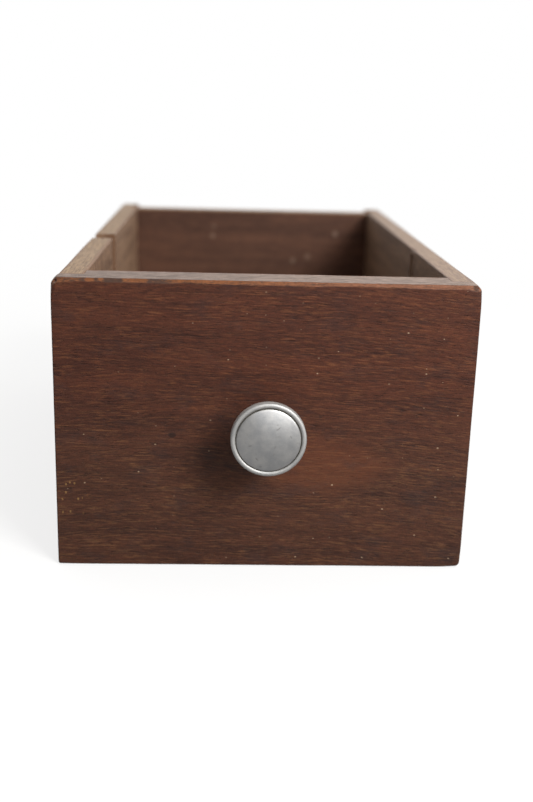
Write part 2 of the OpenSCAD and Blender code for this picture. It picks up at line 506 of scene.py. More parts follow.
def side_board(name, box, slot_y, left):
    lo, hi = box

    def radius(p):
        r = 0.45 + 0.45 * fbm(p, [9, 22, 9], 31 if left else 41, 3)
        if not left:
            # the inner arris is broken away over the housing
            at = np.exp(-((p[:, 1] - (slot_y + 9.0)) / 4.5) ** 2) * np.exp(-((hi[2] - p[:, 2]) / 3.0) ** 2) * np.exp(-((p[:, 0] - lo[0]) / 3.0) ** 2)
            r = r + (2.1 - r) * at
        # the rear ends are knocked about more than the rest
        return r + (1.5 - r) * np.exp(-((hi[1] - p[:, 1]) / 4.0) ** 2) * np.exp(-((hi[2] - p[:, 2]) / 4.0) ** 2)

    v, q = shape_board(lo, hi, (1.6, 2.6, 2.0), radius, seed=51 if left else 61, wave=0.12, fibre=0.03, along=1)
    ob = mesh_object(name, v, q)
    x_in = hi[0] if left else lo[0]
    s = 1 if left else -1

    def inward(depth, y0, y1, z0, z1):
        a, b = sorted((x_in - s * depth, x_in + s * 1.0))
        return box_object("c", (a, y0, z0), (b, y1, z1))

    cuts = [
        inward(3.6, lo[1] - 1, hi[1] + 1, *GROOVE),
        inward(HOUSING + 0.02, BACK[0][1] - 0.05, BACK[1][1] + 0.05, GROOVE[0] + 0.5, TOP + 1),
        inward(SLOT_D if left else 1.0, slot_y, slot_y + SLOT_W, GROOVE[0] + 0.5, TOP + 1 if left else TOP - RIGHT_STOP),
    ]
    if left:
        cuts.append(box_object("c", (lo[0] - 1, slot_y, TOP - NOTCH_D), (hi[0] + 1, slot_y + SLOT_W, TOP + 1)))
    x_out = lo[0] if left else hi[0]
    for z in CORNER_Z:
        cuts.append(brad_cutter(x_out, FRONT_BRAD_Y, z, s))
        cuts.append(brad_cutter(x_out, BACK_BRAD_Y, z, s))
    combine(ob, cuts)
    p = points_of(ob)
    chip = 0.0 if left else np.exp(-((p[:, 1] - (slot_y + 9.0)) / 5.0) ** 2) * np.exp(-((hi[2] - p[:, 2]) / 2.0) ** 2) * np.exp(-((p[:, 0] - lo[0]) / 2.0) ** 2)
    attribute(ob, "wear", np.clip(edge_wear(p, lo, hi, reach=1.6) + chip, 0, 1))
    # a mask of the housings, which the material uses for painted shade and painted light
    depth = np.clip((x_in - p[:, 0]) * s / 1.0, 0, 1)
    in_slot = (p[:, 1] > slot_y - 0.01) & (p[:, 1] < slot_y + SLOT_W + 0.01) & (depth > 0.2) & ((hi[0] - lo[0]) - (x_in - p[:, 0]) * s > 1.0)
    attribute(ob, "housing_light_shade", in_slot * 1.0)
    soften(ob, 40)
    return ob


left_side = side_board("left_side_wood", LEFT, SLOTS["left"], True)
right_side = side_board("right_side_wood", RIGHT, SLOTS["right"], False)

# ------------------------------------------------------------------ back board and bottom panel

v, q = shape_board(*BACK, (2.4, 1.6, 2.2), lambda p: 0.4 + 0.5 * fbm(p, [25, 8, 8], 71, 2), seed=72, wave=0.10, fibre=0.04, along=0)
back = mesh_object("back_board_wood", v, q)
cuts = []
for z in CORNER_Z:
    cuts.append(brad_cutter(LEFT[0][0], BACK_BRAD_Y, z, 1))
    cuts.append(brad_cutter(RIGHT[1][0], BACK_BRAD_Y, z, -1))
cuts += [nail_cutter(x) for x in NAIL_X]
combine(back, cuts)
p = points_of(back)
attribute(back, "wear", edge_wear(p, *BACK, reach=1.2))
soften(back, 40)

v, q = shape_board(*PANEL, (3.0, 3.0, 1.0), lambda p: 0.25 + 0.15 * fbm(p, 20, 81, 2), seed=82, wave=0.08, fibre=0.03, along=0)
panel = mesh_object("bottom_panel_wood", v, q)
combine(panel, [nail_cutter(x) for x in NAIL_X])
p = points_of(panel)
attribute(panel, "wear", edge_wear(p, *PANEL, reach=1.0) * 0.4)
soften(panel, 40)

# ------------------------------------------------------------------ knob, screw and washer


def arc(c, r, a, b, n):
    return [(c[0] + r * math.cos(math.radians(a + (b - a) * i / n)), c[1] + r * math.sin(math.radians(a + (b - a) * i / n))) for i in range(n + 1)]


def knob_profile():
    r, out = knob_r, knob_out
    rim, dome, stem = 0.86, 1.5, 9.4
    crest = out - dome - 0.05
    face_r = r - 2 * rim - 0.24
    ball = (face_r ** 2 + dome ** 2) / (2 * dome)
    turn = math.degrees(math.asin(face_r / ball))
    rise = 0.55
    back_ = crest - rise - 2.2
    p = [(2.1, 0), (stem / 2 + 3.1, 0)]
    p += arc((stem / 2 + 3.1, 0.3), 0.3, -90, 0, 4)
    p += arc((stem / 2 + 3.4, 4.3), 3.4, -100, -180, 18)[1:]
    p += arc((stem / 2 + 4.6, back_ - 5.2), 4.6, 180, 100, 20)
    p += arc((r - 1.8, back_), 1.8, -50, 0, 10)
    # the rim, a little wider than it is high
    p += [(a, crest - rise + b * rise / rim) for a, b in arc((r - rim, 0), rim, 0, 180, 26)]
    p += [(r - 2 * rim - 0.02, crest - 0.82), (r - 2 * rim - 0.06, crest - 0.88), (face_r + 0.05, crest - 0.90), (face_r + 0.01, crest - 0.86)]
    p += arc((face_r - 0.25, crest - 0.17), 0.25, 0, 72, 7)
    p += arc((0, out - ball), ball, 90 - turn + 0.5, 90, 26)[:-1]
    p += [(0, out), ]
    p = [(a, min(b, out)) for a, b in p]
    # the blind hole for the screw
    p = [(0, 9.5), (2.08, 9.5)] + [(2.08, 0)] + p[1:]
    return p


knob = lathe_object("knob_turned", knob_profile(), (knob_x, front_y, knob_z), (0, -1, 0), 160)
soften(knob, 50)

SCREW = mm_box("knob_screw")
seat = FRONT[1][1] + 0.8
screw_end = SCREW[0][1]
profile = [(0, screw_end - seat), (1.5, screw_end - seat), (2.02, screw_end - seat + 0.5)]
t = screw_end - seat + 0.9
while t < -9.0:
    # a fine thread, cut a little into the shank
    profile += [(2.04, t), (1.72, t + 0.25), (2.04, t + 0.5)]
    t += 0.7
profile += [(2.04, -8.6), (2.04, 0.0), (4.0, 0.0)]
profile += [(a, b) for a, b in arc((2.72, 1.1), 1.3, 0, 82, 8)] + [(0, 2.44)]
screw = lathe_object("knob_screw_turned", profile, (knob_x, seat, knob_z), (0, 1, 0), 64)
combine(screw, [box_object("c", (knob_x - 6, seat + 1.3, knob_z - 0.55), (knob_x + 6, seat + 4, knob_z + 0.55))])
soften(screw, 35)

washer = lathe_object("knob_screw_washer_pressed",
                      [(2.25, 0.08), (2.33, 0), (4.8, 0), (4.97, 0.14), (4.97, 0.6), (4.8, 0.78), (2.4, 0.8), (2.25, 0.7), (2.25, 0.08)],
                      (knob_x, FRONT[1][1], knob_z), (0, 1, 0), 72)
import bmesh
bm = bmesh.new()
bm.from_mesh(washer.data)
bmesh.ops.remove_doubles(bm, verts=bm.verts, dist=1e-7)
bmesh.ops.recalc_face_normals(bm, faces=bm.faces)
bm.to_mesh(washer.data)
bm.free()
soften(washer, 35)

# ------------------------------------------------------------------ wood


def wood(name, dark, light, streak, edge, grain="x", seed=0.0, streaks=0.5, rough=0.45, coat=0.15, coat_rough=0.3,
         bend=None, fibre=(9.0, 0.55), pore=0.5, top=None, extra=None, sheen=0.5, grit=0.09, calm=0.0):
    n = Nodes(name)
    x, y, z = n.xyz(n.mm())
    # a = along the grain, b and c = across it
    if grain == "x":
        a, b, c = x, z, y
    else:
        a, b, c = y, z, x
    # slow wander of the grain
    wander = n.noise(n.vec(n.mul(a, 1 / 62.0), n.mul(b, 1 / 24.0), n.mad(c, 1 / 24.0, seed)), 1.0, 1.0)
    small = n.noise(n.vec(n.mul(a, 1 / 15.0), n.mul(b, 1 / 3.8), n.mad(c, 1 / 3.8, seed + 7)), 1.0, 1.0)
    b1 = n.add(b, n.add(n.mad(wander, 5.0, -2.5), n.mad(small, 0.5, -0.25)))
    if bend:
        # grain that runs level at one end and falls towards the other
        b1 = n.add(b1, n.mul(a, n.mad(a, bend[1], bend[0])))
    bands = n.noise(n.vec(n.mad(a, 1 / 70.0, seed), n.mul(b1, 1 / 5.5), n.mul(c, 1 / 5.5)), 1.0, 2.0, 0.6)
    patch = n.noise(n.vec(n.mad(a, 1 / 26.0, seed + 3), n.mul(b, 1 / 13.0), n.mul(c, 1 / 13.0)), 1.0, 2.0, 0.6)
    fib = n.noise(n.vec(n.mad(a, 1 / fibre[0], seed), n.mul(b1, 1 / fibre[1]), n.mul(c, 1 / fibre[1])), 1.0, 3.0, 0.62)
    hair = n.noise(n.vec(n.mad(a, 1 / 2.2, seed), n.mul(b1, 1 / 0.45), n.mul(c, 1 / 0.45)), 1.0, 1.0)
    mott = n.noise(n.vec(n.mad(a, 1 / 2.9, seed + 5), n.mul(b, 1 / 1.7), n.mul(c, 1 / 1.7)), 1.0, 3.0, 0.6)
    speck = n.noise(n.vec(n.mul(x, 1 / 0.42), n.mul(y, 1 / 0.42), n.mul(z, 1 / 0.42)), 1.0, 1.0)
    tone = n.add(n.mad(n.between(bands, 0.3, 0.7), 0.45 * (1 - calm), 0.225 * calm), n.mad(n.between(fib, 0.3, 0.7), 0.40, 0.0))
    tone = n.add(tone, n.mul(n.between(patch, 0.25, 0.75), 0.15))
    col = n.mix(tone, dark, light)
    # short bright fibres, in drifts
    st = n.noise(n.vec(n.mad(a, 1 / 5.0, seed + 11), n.mul(b1, 1 / 0.60), n.mul(c, 1 / 0.60)), 1.0, 2.0, 0.5)
    st = n.between(st, 0.50, 0.70)
    drift = n.between(n.noise(n.vec(n.mad(a, 1 / 24.0, seed + 19), n.mul(b, 1 / 12.0), n.mul(c, 1 / 12.0)), 1.0, 2.0, 0.6), 0.38, 0.66, 0.45, 1.0)
    st = n.mul(st, drift)
    # a few longer ones
    long_ = n.noise(n.vec(n.mad(a, 1 / 13.0, seed + 41), n.mul(b1, 1 / 0.62), n.mul(c, 1 / 0.62)), 1.0, 1.0, 0.5)
    st = n.math("MAXIMUM", st, n.between(long_, 0.66, 0.78))
    st = n.mul(st, streaks)
    col = n.mix(st, col, streak)
    # long thin dark lines, where earlier wood has worn away
    ln = n.noise(n.vec(n.mad(a, 1 / 17.0, seed + 31), n.mul(b1, 1 / 0.42), n.mul(c, 1 / 0.42)), 1.0, 1.0, 0.5)
    ln = n.between(ln, 0.33, 0.22)
    col = n.scale_colour(col, n.mad(ln, -0.42 * pore, 1.0))
    # pores, as short dark dashes
    po = n.noise(n.vec(n.mad(a, 1 / 3.4, seed + 23), n.mul(b1, 1 / 0.34), n.mul(c, 1 / 0.34)), 1.0, 1.0)
    po = n.between(po, 0.36, 0.27)
    col = n.scale_colour(col, n.mad(po, -0.55 * pore, 1.0))
    col = n.scale_colour(col, n.mad(n.between(hair, 0.2, 0.8, -1, 1, False), 0.12, 1.0))
    col = n.scale_colour(col, n.mad(n.between(mott, 0.25, 0.75, -1, 1, False), 0.14, 1.0))
    col = n.scale_colour(col, n.mad(n.between(speck, 0.2, 0.8, -1, 1, False), grit, 1.0))
    rough_v = n.add(n.mad(n.between(patch, 0.2, 0.8, -1, 1, False), 0.06, rough), n.mad(n.between(speck, 0.2, 0.8, -1, 1, False), 0.04, 0.0))
    height = n.add(n.add(n.mad(fib, 0.55, n.mul(hair, 0.25)), n.mul(ln, -0.5 * pore)), n.mad(po, -0.6 * pore, n.mul(mott, 0.35)))
    data = dict(n=n, x=x, y=y, z=z, a=a, b=b, c=c, b1=b1, fib=fib, hair=hair, mott=mott, patch=patch, bands=bands)
    if top:
        # planed upper edges, paler and drier than the faces
        g = n.node("ShaderNodeNewGeometry")
        nz = n.xyz(g.outputs["Normal"])[2]
        up = n.between(nz, 0.55, 0.85)
        up = n.mul(up, n.between(n.add(mott, n.mul(patch, 0.6)), 0.35, 0.95, 0.75, 1.0))
        edge_col = n.scale_colour(n.mix(n.between(fib, 0.3, 0.7), top[0], top[1]), n.mad(n.between(mott, 0.25, 0.75, -1, 1, False), 0.10, 1.0))
        if len(top) > 3:
            # the strip is paler towards the right
            edge_col = n.scale_colour(edge_col, n.between(x, *top[3]))
        col = n.mix(up, col, edge_col)
        rough_v = n.add(rough_v, n.mul(up, top[2] if len(top) > 2 else 0.0))
    # arrises rubbed bare
    w = n.attr("wear")
    w = n.mul(n.between(n.add(w, n.mad(n.noise(n.vec(n.mul(x, 1 / 3.0), n.mul(y, 1 / 3.0), n.mul(z, 1 / 3.0)), 1.0, 3.0, 0.65), 1.1, -0.55)), 0.30, 0.75), 1.0)
    data["wear"] = w
    col = n.mix(n.mul(w, 0.8), col, edge)
    if extra:
        col, rough_v = extra(data, col, rough_v)
    normal = n.bump(height, 0.00022, 0.8)
    return n.finish(col, rough_v, 0.0, normal, coat, coat_rough, sheen)


def front_extra(d, col, rough):
    n, x, y, z, a, b1 = d["n"], d["x"], d["y"], d["z"], d["a"], d["b1"]
    # the face is redder and a little lighter towards the middle and the lower right
    face = n.between(y, front_y + 3.0, front_y + 0.8)
    mid = n.between(x, -55.0, 20.0)
    col = n.mix(n.mul(n.mul(mid, face), 0.40), col, n.scale_colour(col, 1.25))
    ex, ez = n.mul(n.sub(x, 22.0), 1 / 24.0), n.mul(n.sub(z, 40.0), 1 / 12.0)
    warm = n.between(n.add(n.add(n.mul(ex, ex), n.mul(ez, ez)), n.mad(d["patch"], 1.6, -0.8)), 1.3, 0.2)
    col = n.mix(n.mul(n.mul(warm, face), 0.40), col, srgb(112, 54, 30))
    # cooler, dirtier patches; and the lower part of the face painted greyer and bluer, a painted reflection of the pale
    # floor in the finish
    cool = n.noise(n.vec(n.mul(x, 1 / 17.0), 5.0, n.mul(z, 1 / 9.0)), 1.0, 3.0, 0.6)
    cool = n.mul(n.between(cool, 0.50, 0.68), face)
    col = n.mix(n.mul(cool, 0.26), col, srgb(48, 36, 34))
    tint = n.noise(n.vec(n.mul(x, 1 / 1.3), 9.0, n.mul(z, 1 / 0.8)), 1.0, 2.0, 0.6)
    # painted reflection of the pale floor: the lower face is made less red and bluer; tint adds reddish specks
    low = n.between(z, 80.0, 30.0)
    gain = n.node("ShaderNodeVectorMath", operation="MULTIPLY")
    n.put(gain.inputs[0], col)
    n.put(gain.inputs[1], n.vec(n.add(n.mad(low, -0.06, 0.80), n.mad(tint, 0.26, -0.13)), n.mad(low, 0.13, 0.90), n.add(n.mad(low, 0.25, 1.02), n.mad(tint, -0.26, 0.13))))
    col = n.mix(face, col, gain.outputs[0])
    # rubbed front arris along the top: bare in places, dark in others
    ramp = n.node("ShaderNodeValToRGB")
    n.put(ramp.inputs[0], n.between(x, -76.0, 76.0, 0.0, 1.0, False))
    stops = [(-76, .55), (-66, .6), (-64.5, .25), (-63, 1.0), (-61.2, .9), (-60.2, .15), (-58.6, .8), (-57, .15), (-51.5, .2), (-50, .75),
             (-43, .8), (-41.5, .2), (-36, .25), (-33, .7), (-20, .85), (-8, .7), (4, .85), (20, .75), (34, .9), (52, .8), (58, 1.0), (66, .85), (72.4, .8), (73.3, .3), (74.2, .3), (75, .9)]
    while len(ramp.color_ramp.elements) < len(stops):
        ramp.color_ramp.elements.new(0.5)
    for e, (px, val) in zip(ramp.color_ramp.elements, stops):
        e.position = (px + 76) / 152
    for e, (px, val) in zip(ramp.color_ramp.elements, stops):
        e.color = (val, val, val, 1)
    g = n.node("ShaderNodeNewGeometry")
    nx, ny, nz = n.xyz(g.outputs["Normal"])
    arris = n.mul(n.mul(n.between(nz, 0.25, 0.45), n.between(nz, 0.95, 0.85)), n.between(ny, -0.2, -0.4))
    bits = n.noise(n.vec(n.mul(x, 1 / 1.5), n.mul(y, 1 / 0.55), n.mul(z, 1 / 0.55)), 1.0, 3.0, 0.65)
    amount = n.mul(arris, n.between(n.add(n.mul(ramp.outputs[0], 0.8), n.mad(bits, 1.6, -0.8)), 0.1, 0.8))
    # it fades out down the rounding, at an uneven line
    amount = n.mul(amount, n.between(n.add(nz, n.mad(bits, 0.5, -0.25)), 0.30, 0.52))
    bare = n.mix(n.between(x, -20.0, 40.0), srgb(114, 70, 42), srgb(116, 76, 56))
    lines = n.noise(n.vec(n.mul(x, 1 / 5.0), n.mul(y, 1 / 0.30), n.mul(z, 1 / 0.30)), 1.0, 2.0, 0.6)
    dots = n.noise(n.vec(n.mul(x, 1 / 0.7), n.mul(y, 1 / 0.5), n.mul(z, 1 / 0.5)), 1.0, 2.0, 0.6)
    bare = n.scale_colour(bare, n.add(n.mad(n.between(lines, 0.25, 0.75), 0.44, 0.76), n.mad(n.between(dots, 0.25, 0.75), 0.30, -0.15)))
    bare = n.mix(n.mul(n.between(dots, 0.70, 0.80), 0.6), bare, srgb(176, 150, 128))
    col = n.mix(arris, col, srgb(62, 44, 36))
    col = n.mix(amount, col, bare)
    # small pale chips in the finish
    v = n.node("ShaderNodeTexVoronoi", voronoi_dimensions="2D", feature="F1")
    n.put(v.inputs["Vector"], n.vec(n.mul(x, 1.0), n.mul(z, 1.35), 0.0))
    v.inputs["Scale"].default_value = 1 / 6.5
    r = n.xyz(v.outputs["Color"])
    pick = n.between(n.add(r[0], n.mul(n.between(x, 5.0, 30.0), n.between(z, 40.0, 60.0, 0.0, 0.12))), 0.86, 0.87)
    size = n.mad(r[1], 0.035, 0.022)
    fleck = n.mul(n.mul(n.between(n.sub(v.outputs["Distance"], size), 0.014, -0.010), pick), face)
    col = n.mix(n.mul(fleck, n.mad(r[2], 0.55, 0.12)), col, srgb(166, 142, 118))
    # a cluster of small ochre scratches low at the left edge
    v2 = n.node("ShaderNodeTexVoronoi", voronoi_dimensions="2D", feature="F1")
    n.put(v2.inputs["Vector"], n.vec(n.mul(x, 1.0), n.mul(z, 0.7), 0.0))
    v2.inputs["Scale"].default_value = 1 / 1.5
    r2 = n.xyz(v2.outputs["Color"])
    ex, ez = n.mul(n.sub(x, -70.5), 1 / 5.0), n.mul(n.sub(z, 25.0), 1 / 11.0)
    near = n.between(n.add(n.mul(ex, ex), n.mul(ez, ez)), 1.3, 0.3)
    ochre = n.mul(n.mul(n.between(v2.outputs["Distance"], 0.30, 0.16), n.between(n.add(r2[0], n.mul(near, 0.30)), 0.98, 1.0)), n.mul(near, face))
    col = n.mix(n.mul(ochre, 0.55), col, srgb(134, 102, 62))
    # grime left by fingers beside and under the knob
    # painted shadow of the knob: the wood is darkened beside and under the knob, down and to the left, where its cast
    # shadow falls
    gx, gz = n.sub(x, knob_x - 8.0), n.sub(z, knob_z - 9.0)
    knob_shadow_paint = n.math("SQRT", n.add(n.mul(gx, gx), n.mul(gz, gz)))
    knob_shadow_paint = n.mul(n.between(n.add(knob_shadow_paint, n.mad(d["patch"], 10.0, -5.0)), 19.0, 9.0), face)
    col = n.mix(n.mul(knob_shadow_paint, 0.30), col, srgb(30, 20, 19))
    # a few fine dark cracks along the grain, high on the right
    for cx, cz, slope, length in ((52.0, 90.5, -0.06, 7.0), (63.0, 88.2, -0.08, 5.0), (57.5, 86.8, -0.05, 8.0), (-52.0, 78.0, -0.02, 9.0), (30.0, 64.0, -0.05, 7.0), (8.0, 100.0, 0.0, 8.0)):
        u = n.mul(n.sub(x, cx), 1 / length)
        w = n.sub(n.sub(z, cz), n.add(n.mul(n.sub(x, cx), slope), n.mad(d["mott"], 0.5, -0.25)))
        m = n.mul(n.between(n.math("ABSOLUTE", w), 0.20, 0.05), n.between(n.mul(u, u), 1.0, 0.3))
        col = n.mix(n.mul(n.mul(m, face), 0.6), col, srgb(26, 16, 14))
    # one dark knock, low on the left
    dx, dz = n.sub(x, -33.5), n.sub(z, 51.5)
    knock = n.between(n.add(n.mul(dx, n.mul(dx, 0.5)), n.mul(dz, dz)), 1.6, 0.4)
    col = n.mix(n.mul(n.mul(knock, face), 0.75), col, srgb(30, 20, 18))
    return col, rough


FRONT_WOOD = wood("front_wood", srgb(46, 23, 17), srgb(88, 45, 28), srgb(128, 76, 44), srgb(112, 70, 44), "x", 2.0,
                  streaks=0.36, rough=0.56, coat=0.0, coat_rough=0.3, bend=(0.04, 0.00025), sheen=0.16, fibre=(6.5, 0.62), pore=0.75, grit=0.24, calm=0.35,
                  top=(srgb(88, 75, 68), srgb(138, 121, 111), 0.04, (-35.0, 20.0, 1.03, 1.25)), extra=front_extra)


def side_extra(d, col, rough):
    n = d["n"]
    x, y, z = d["x"], d["y"], d["z"]
    runs = n.noise(n.vec(n.mul(n.add(y, n.mul(z, 0.25)), 1 / 3.2), n.mul(z, 1 / 16.0), 3.0), 1.0, 3.0, 0.6)
    runs = n.mul(n.between(runs, 0.44, 0.66), n.mul(n.between(x, inner_l - 1.0, inner_l - 0.6), n.between(x, 0.0, -1.0)))
    runs = n.mul(n.mul(runs, n.between(y, front_y + 106.0, front_y + 104.5)), n.mul(n.between(z, TOP - 0.6, TOP - 2.5), n.between(n.add(z, n.mul(d["patch"], 30.0)), TOP - 38.0, TOP - 8.0)))
    col = n.mix(n.mul(runs, 0.62), col, srgb(86, 58, 40))
    right = n.between(x, 0.0, 1.0)
    g = n.node("ShaderNodeNewGeometry")
    gx, gy, gz = n.xyz(g.outputs["Normal"])
    # the right side's inner face is painted darker, a painted shade since it faces away from the key light, more so
    # towards the front; its top redder and dirtier to the front
    col = n.mix(n.mul(n.mul(right, n.between(gx, -0.5, -0.8)), n.between(y, front_y + 110.0, front_y + 40.0, 0.20, 0.30)), col, srgb(44, 30, 22))
    top = n.between(gz, 0.55, 0.85)
    stain = n.noise(n.vec(n.mul(x, 1 / 2.6), n.mul(y, 1 / 5.5), 7.0), 1.0, 4.0, 0.7)
    stain = n.mul(n.mul(n.between(stain, 0.46, 0.66), top), n.between(y, front_y + 90.0, front_y + 15.0, 0.15, 1.0))
    col = n.mix(n.mul(n.mul(stain, right), 0.55), col, srgb(84, 62, 56))
    col = n.mix(n.mul(n.mul(top, right), 0.30), col, srgb(158, 142, 136))
    col = n.mix(n.mul(n.mul(stain, n.sub(1.0, right)), 0.22), col, srgb(90, 70, 54))
    # the open joint behind the front board
    end = front_y + 8.5
    crack = n.between(n.add(n.sub(y, end), n.mad(d["mott"], 0.5, -0.25)), 0.55, 0.15)
    reach = n.math("MINIMUM", n.between(x, inner_l - 6.0, inner_l - 2.5), n.between(x, inner_r + 6.0, inner_r + 2.5))
    col = n.mix(n.mul(n.mul(crack, reach), n.mul(top, 0.8)), col, srgb(44, 32, 26))
    # housings: the left one browner, with painted shade darkening its walls more than its floor; the right one's
    # front-facing wall painted pale, painted light
    housing_light_shade = n.attr("housing_light_shade")
    col = n.mix(n.mul(n.mul(housing_light_shade, n.sub(1.0, right)), n.between(gz, 0.4, 0.8, 0.6, 0.9)), col, n.mix(n.between(gz, 0.4, 0.8), srgb(98, 66, 44), srgb(66, 46, 33)))
    # painted light: the right housing's wall that faces the front is painted pale so it does not read as shaded
    return n.mix(n.mul(n.mul(housing_light_shade, right), n.between(gy, -0.4, -0.7, 0.0, 0.85)), col, srgb(200, 168, 142)), rough


def back_extra(d, col, rough):
    n, x, y, z = d["n"], d["x"], d["y"], d["z"]
    inner = n.between(y, BACK[0][1] + 1.2, BACK[0][1] + 0.4)
    marks = None
    for mx, mz, size, level in ((-22.0, 93.0, 2.0, 0.22), (-21.5, 98.5, 1.6, 0.16), (48.5, 95.5, 2.1, 0.36), (24.5, 79.5, 2.3, 0.22), (33.0, 82.0, 2.4, 0.22)):
        ex, ez = n.sub(x, mx), n.sub(z, mz)
        dist = n.math("SQRT", n.add(n.mul(ex, ex), n.mul(n.mul(ez, ez), 0.8)))
        m = n.mul(n.between(n.mad(d["mott"], 1.6, n.add(dist, -0.8)), size, 0.2), level)
        marks = m if marks is None else n.math("MAXIMUM", marks, m)
    return n.mix(n.mul(marks, inner), col, srgb(176, 152, 134)), rough


SIDE_WOOD = wood("side_wood", srgb(86, 64, 50), srgb(144, 116, 93), srgb(158, 120, 90), srgb(118, 92, 74), "y", 9.0,
                 streaks=0.4, rough=0.58, coat=0.0, coat_rough=0.35, sheen=0.25, top=(srgb(112, 90, 70), srgb(152, 128, 102), 0.06), extra=side_extra, grit=0.12)
BACK_WOOD = wood("back_wood", srgb(54, 34, 26), srgb(94, 63, 48), srgb(110, 74, 54), srgb(130, 102, 80), "x", 15.0,
                 streaks=0.3, rough=0.56, coat=0.0, coat_rough=0.35, sheen=0.22, top=(srgb(112, 92, 74), srgb(150, 128, 106), -0.10), extra=back_extra)
PANEL_WOOD = wood("panel_wood", srgb(82, 60, 46), srgb(128, 98, 76), srgb(146, 110, 82), srgb(140, 108, 82), "x", 27.0,
                  streaks=0.3, rough=0.58, coat=0.0, fibre=(14.0, 0.8))

# ------------------------------------------------------------------ metal


def knob_material():
    n = Nodes("knob_metal")
    x, y, z = n.xyz(n.mm())
    dx, dz = n.sub(x, knob_x), n.sub(z, knob_z)
    r = n.math("SQRT", n.add(n.mul(dx, dx), n.mul(dz, dz)))
    d = n.sub(front_y, y)                            # distance out from the front board
    face_r = knob_r - 1.72 - 0.24
    cloud = n.noise(n.vec(n.mul(x, 1 / 5.0), n.mul(y, 1 / 5.0), n.mul(z, 1 / 5.0)), 1.0, 4.0, 0.62)
    fine = n.noise(n.vec(n.mul(x, 1 / 0.5), n.mul(y, 1 / 0.5), n.mul(z, 1 / 0.5)), 1.0, 2.0)
    turned = n.noise(n.vec(n.mul(r, 1 / 0.16), n.mul(d, 1 / 0.16), n.mul(n.math("ARCTAN2", dz, dx), 0.8)), 1.0, 1.0)
    scratch = n.noise(n.vec(n.mul(n.add(dx, n.mul(dz, 0.35)), 1 / 0.22), n.mul(n.sub(dz, n.mul(dx, 0.35)), 1 / 5.5), 4.0), 1.0, 2.0)
    scratch = n.between(scratch, 0.66, 0.74)
    scratch2 = n.noise(n.vec(n.mul(n.sub(dz, n.mul(dx, 0.7)), 1 / 0.2), n.mul(n.add(dx, n.mul(dz, 0.7)), 1 / 4.0), 9.0), 1.0, 2.0)
    scratch2 = n.between(scratch2, 0.67, 0.75)
    col = n.mix(n.between(cloud, 0.30, 0.70), srgb(168, 169, 171), srgb(186, 185, 184))
    # brown tarnish: in the groove, behind the edge, and in a few blots on the face
    groove = n.mul(n.between(r, face_r - 0.16, face_r + 0.0), n.between(r, face_r + 0.50, face_r + 0.24))
    groove = n.mul(groove, n.mul(n.between(d, 17.0, 18.5), n.between(d, 20.15, 19.9)))
    behind = n.between(d, 14.5, 10.0)
    blots = n.mul(n.between(n.noise(n.vec(n.mul(x, 1 / 3.1), 3.0, n.mul(z, 1 / 2.3)), 1.0, 4.0, 0.7), 0.60, 0.72), n.between(d, 18.0, 19.0))
    stain = n.math("MINIMUM", n.add(n.add(n.mul(groove, 0.9), n.mul(behind, 0.7)), n.mul(blots, 0.25)), 1.0)
    col = n.mix(stain, col, srgb(88, 80, 60))
    col = n.mix(n.mul(n.math("MAXIMUM", scratch, scratch2), 0.12), col, srgb(200, 198, 196))
    # a few dull nicks in the face
    nick = None
    for nx, nz, turn, length, width, level in ((3.2, 4.6, 40, 1.1, 0.28, 0.8), (7.6, 1.7, -60, 0.7, 0.25, 0.7), (-6.4, -1.7, 15, 0.8, 0.3, 0.5),
                                               (-4.0, -6.5, -50, 0.9, 0.3, 0.6), (-2.6, -9.4, 0, 0.6, 0.35, 0.6), (2.2, -2.0, 65, 0.8, 0.3, 0.4), (2.9, 6.0, 20, 0.5, 0.3, 0.4)):
        c_, s_ = math.cos(math.radians(turn)), math.sin(math.radians(turn))
        ex, ez = n.sub(dx, nx), n.sub(dz, nz)
        u = n.mul(n.add(n.mul(ex, c_), n.mul(ez, s_)), 1 / length)
        w = n.mul(n.sub(n.mul(ez, c_), n.mul(ex, s_)), 1 / width)
        m = n.mul(n.between(n.add(n.add(n.mul(u, u), n.mul(w, w)), n.mad(fine, 1.2, -0.6)), 1.1, 0.1), level)
        nick = m if nick is None else n.math("MAXIMUM", nick, m)
    nick = n.mul(nick, n.between(d, 19.0, 19.6))
    col = n.mix(n.mul(nick, 0.6), col, srgb(96, 92, 86))
    # the rim and the edge are rubbed and duller than the face
    soft = n.math("MAXIMUM", n.between(r, face_r + 0.10, face_r + 0.35), n.between(d, knob_out - 2.3, knob_out - 2.8))
    edge = n.between(d, knob_out - 2.1, knob_out - 2.6)
    col = n.mix(n.mul(soft, 0.5), col, srgb(160, 159, 157))
    col = n.mix(n.mul(edge, 0.5), col, srgb(204, 202, 198))
    rough = n.add(n.mad(n.between(cloud, 0.3, 0.7), 0.05, 0.29), n.add(n.mad(edge, 0.06, n.mul(soft, 0.26)), n.mad(stain, 0.22, n.mul(fine, 0.06))))
    grain = n.noise(n.vec(n.mul(x, 1 / 0.28), n.mul(y, 1 / 0.28), n.mul(z, 1 / 0.28)), 1.0, 1.0)
    col = n.scale_colour(col, n.mad(n.between(grain, 0.2, 0.8, -1, 1, False), 0.06, 1.0))
    height = n.add(n.mul(turned, 0.5), n.add(n.mul(fine, 0.5), n.mul(n.math("MAXIMUM", scratch, scratch2), -0.2)))
    return n.finish(col, rough, 1.0, n.bump(height, 0.00003, 0.7))


